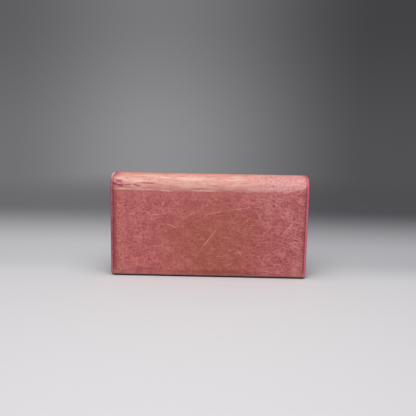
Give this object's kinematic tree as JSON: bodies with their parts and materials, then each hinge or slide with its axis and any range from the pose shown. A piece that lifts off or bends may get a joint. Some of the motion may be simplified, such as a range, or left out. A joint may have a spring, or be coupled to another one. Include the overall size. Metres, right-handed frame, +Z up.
{
  "type": "long wallet",
  "caption": "Long flap wallet in worn leather, with a folded top, snap flap, card slots, two gusseted note compartments and a zipped coin pocket.",
  "frame": {"origin": "middle of the foot, the edge that the wallet stands on", "axes": "+X along the width, +Z up to the fold, -Y out of the plain back and +Y out of the flap"},
  "size_m": [0.19, 0.0298, 0.1],
  "materials": {
    "outer_leather": "distressed, worn pale on the fold",
    "lining_leather": "smooth thin lining leather",
    "card_leather": "smooth",
    "gusset_leather": "soft thin leather",
    "board": "bonded fibre stiffener",
    "thread": "waxed thread",
    "zip_tape": "woven tape",
    "zip_metal": "aged brass",
    "snap_metal": "aged brass, brushed"
  },
  "bodies": {
    "back": {"back_panel": "outer_leather", "back_lining": "lining_leather", "back_board": "board", "back_thread": "thread", "rear_card_panel": "card_leather", "rear_card_thread": "thread", "rear_card_slot_left_1": "card_leather", "rear_card_slot_left_2": "card_leather", "rear_card_slot_left_3": "card_leather", "rear_card_slot_left_4": "card_leather", "rear_card_slot_right_1": "card_leather", "rear_card_slot_right_2": "card_leather", "rear_card_slot_right_3": "card_leather", "rear_card_slot_right_4": "card_leather", "rear_gusset_left": "gusset_leather", "rear_gusset_right": "gusset_leather", "rear_gusset_foot": "gusset_leather"},
    "middle": {"coin_wall_rear": "card_leather", "coin_wall_front": "card_leather", "coin_gusset_left": "gusset_leather", "coin_gusset_right": "gusset_leather", "coin_gusset_foot": "gusset_leather", "zip_tape_rear": "zip_tape", "zip_tape_front": "zip_tape", "zip_teeth_rear": "zip_metal", "zip_teeth_front": "zip_metal", "zip_top_stop": "zip_metal", "zip_bottom_stop": "zip_metal", "front_gusset_left": "gusset_leather", "front_gusset_right": "gusset_leather", "front_gusset_foot": "gusset_leather"},
    "front": {"front_panel": "outer_leather", "front_lining": "lining_leather", "front_board": "board", "front_thread": "thread", "front_card_panel": "card_leather", "front_card_thread": "thread", "front_card_slot_left_1": "card_leather", "front_card_slot_left_2": "card_leather", "front_card_slot_right_1": "card_leather", "front_card_slot_right_2": "card_leather", "snap_stud": "snap_metal", "snap_rivet": "snap_metal"},
    "fold": {"fold_leather": "outer_leather", "fold_lining": "lining_leather", "fold_thread": "thread"},
    "flap": {"flap_panel": "outer_leather", "flap_lining": "lining_leather", "flap_board": "board", "flap_thread": "thread", "snap_cap": "snap_metal", "snap_socket": "snap_metal"},
    "slider": {"zip_slider": "zip_metal"},
    "puller": {"zip_puller": "zip_metal"}
  },
  "joints": [
    {"name": "fold_hinge", "type": "hinge", "parent": "back", "child": "fold", "pos_m": [0, -0.01495, 0.0855], "axis": [1, 0, 0], "range_deg": [0, 90]},
    {"name": "flap_hinge", "type": "hinge", "parent": "fold", "child": "flap", "pos_m": [0, 0.01405, 0.0855], "axis": [1, 0, 0], "range_deg": [0, 90]},
    {"name": "rear_compartment_opens", "type": "hinge", "parent": "back", "child": "middle", "pos_m": [0, 0.006, 0.0006], "axis": [-1, 0, 0], "range_deg": [0, 8], "deforming": ["rear_gusset_left", "rear_gusset_right"]},
    {"name": "front_compartment_opens", "type": "hinge", "parent": "middle", "child": "front", "pos_m": [0, 0.01045, 0], "axis": [-1, 0, 0], "range_deg": [0, 8], "deforming": ["front_gusset_left", "front_gusset_right"]},
    {"name": "zip_travel", "type": "slide", "parent": "middle", "child": "slider", "axis": [-1, 0, 0], "range_m": [0, 0.148]},
    {"name": "puller_swing", "type": "hinge", "parent": "slider", "child": "puller", "pos_m": [0.0735, -0.00165, 0.0781], "axis": [0, 1, 0], "range_deg": [0, 180]}
  ],
  "couplings": [
    {"joint": "flap_hinge", "follows": "fold_hinge", "ratio": 1},
    {"joint": "rear_compartment_opens", "follows": "fold_hinge", "ratio": 0.088889},
    {"joint": "front_compartment_opens", "follows": "fold_hinge", "ratio": 0.088889}
  ]
}
